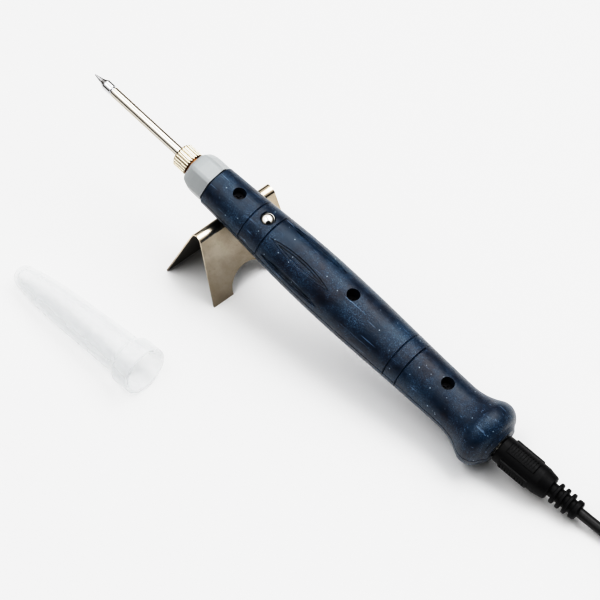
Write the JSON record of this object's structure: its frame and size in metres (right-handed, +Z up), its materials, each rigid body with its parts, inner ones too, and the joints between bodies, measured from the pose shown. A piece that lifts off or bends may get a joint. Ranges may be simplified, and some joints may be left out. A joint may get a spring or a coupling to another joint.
{
  "type": "soldering iron on folded stand",
  "caption": "Slim low-voltage soldering iron with screw-on bit and plug-in lead, resting on a folded sheet-steel stand, with its clear tip cap beside it.",
  "frame": {"origin": "middle of the footprint of the stand, iron and cap, on the table that they stand on", "axes": "+X along the table from the iron's tip to its tail, +Y from the cap's side to the far side of the stand, +Z up"},
  "size_m": [0.2743, 0.1357, 0.0469],
  "materials": {
    "stand_steel": "polished, with a fine rolled grain",
    "handle_shell": "smoky translucent blue-grey, glossy",
    "grey_plastic": "light grey, satin gloss",
    "nickel": "bright nickel plate",
    "sleeve_steel": "polished stainless",
    "bit_plate": "plated, slightly dull",
    "brass": "turned",
    "ball_steel": "polished",
    "screw_steel": "zinc plate",
    "ceramic": "white fired ceramic",
    "insulation": "mica-coloured heat insulation",
    "wire_red": "silicone insulation",
    "board": "green solder mask",
    "chip_black": "moulded epoxy",
    "passive": "ceramic chip parts",
    "lamp": "diffused lamp",
    "spring_steel": "bright wire",
    "jack_black": "moulded",
    "contact_metal": "nickel plate",
    "plug_rubber": "satin black PVC",
    "cord": "satin black PVC",
    "tie": "woven black",
    "gold": "gold plate",
    "tongue_white": "white",
    "cap_clear": "frosted clear"
  },
  "bodies": {
    "stand": {"folded_stand": "stand_steel"},
    "iron": {"handle_upper_shell": "handle_shell", "handle_lower_shell": "handle_shell", "shell_screws": "screw_steel", "front_collar": "grey_plastic", "threaded_ferrule": "brass", "ceramic_heater": "ceramic", "heater_washer": "insulation", "heater_leads": "wire_red", "circuit_board": "board", "controller_chip": "chip_black", "power_transistor": "chip_black", "board_passives": "passive", "motion_switch": "contact_metal", "status_lamp": "lamp", "touch_spring": "spring_steel", "supply_wires": "wire_red", "jack_housing": "jack_black", "jack_contacts": "contact_metal"},
    "tip": {"soldering_bit": "bit_plate", "bit_sleeve": "sleeve_steel"},
    "nut": {"knurled_nut": "nickel"},
    "ball": {"touch_ball": "ball_steel"},
    "plug": {"plug_overmould": "plug_rubber", "plug_strain_relief": "plug_rubber", "plug_sleeve_contact": "contact_metal", "plug_insulator": "jack_black", "plug_tip_contact": "contact_metal", "cord_run": "cord", "cord_coil": "cord", "cord_tail": "cord", "coil_tie": "tie", "far_strain_relief": "plug_rubber", "far_overmould": "plug_rubber", "far_shell": "contact_metal", "far_tongue": "tongue_white", "far_contacts": "gold"},
    "cap": {"protective_cap": "cap_clear"}
  },
  "joints": [
    {"name": "iron_lift", "type": "slide", "parent": "stand", "child": "iron", "axis": [0, 0, 1], "range_m": [0, 0.05]},
    {"name": "tip_advance", "type": "slide", "parent": "iron", "child": "tip", "axis": [-0.9826, 0, 0.1857], "range_m": [0, 0.0045]},
    {"name": "nut_turn", "type": "hinge", "parent": "tip", "child": "nut", "pos_m": [-0.05027, 0.02274, 0.03793], "axis": [-0.9826, 0, 0.1857], "range_deg": [0, 2161]},
    {"name": "ball_press", "type": "slide", "parent": "iron", "child": "ball", "axis": [-0.1857, 0, -0.9826], "range_m": [0, 0.0006], "stiffness_N_per_m": 150, "springref_m": -0.001, "deforming": ["touch_spring"]},
    {"name": "plug_pull", "type": "slide", "parent": "iron", "child": "plug", "axis": [0.9811, 0.0558, -0.1854], "range_m": [0, 0.016]},
    {"name": "cap_lift", "type": "slide", "parent": "stand", "child": "cap", "axis": [0, 0, 1], "range_m": [0, 0.04]}
  ],
  "couplings": [
    {"joint": "nut_turn", "follows": "tip_advance", "rad_per_m": 8377.6}
  ]
}
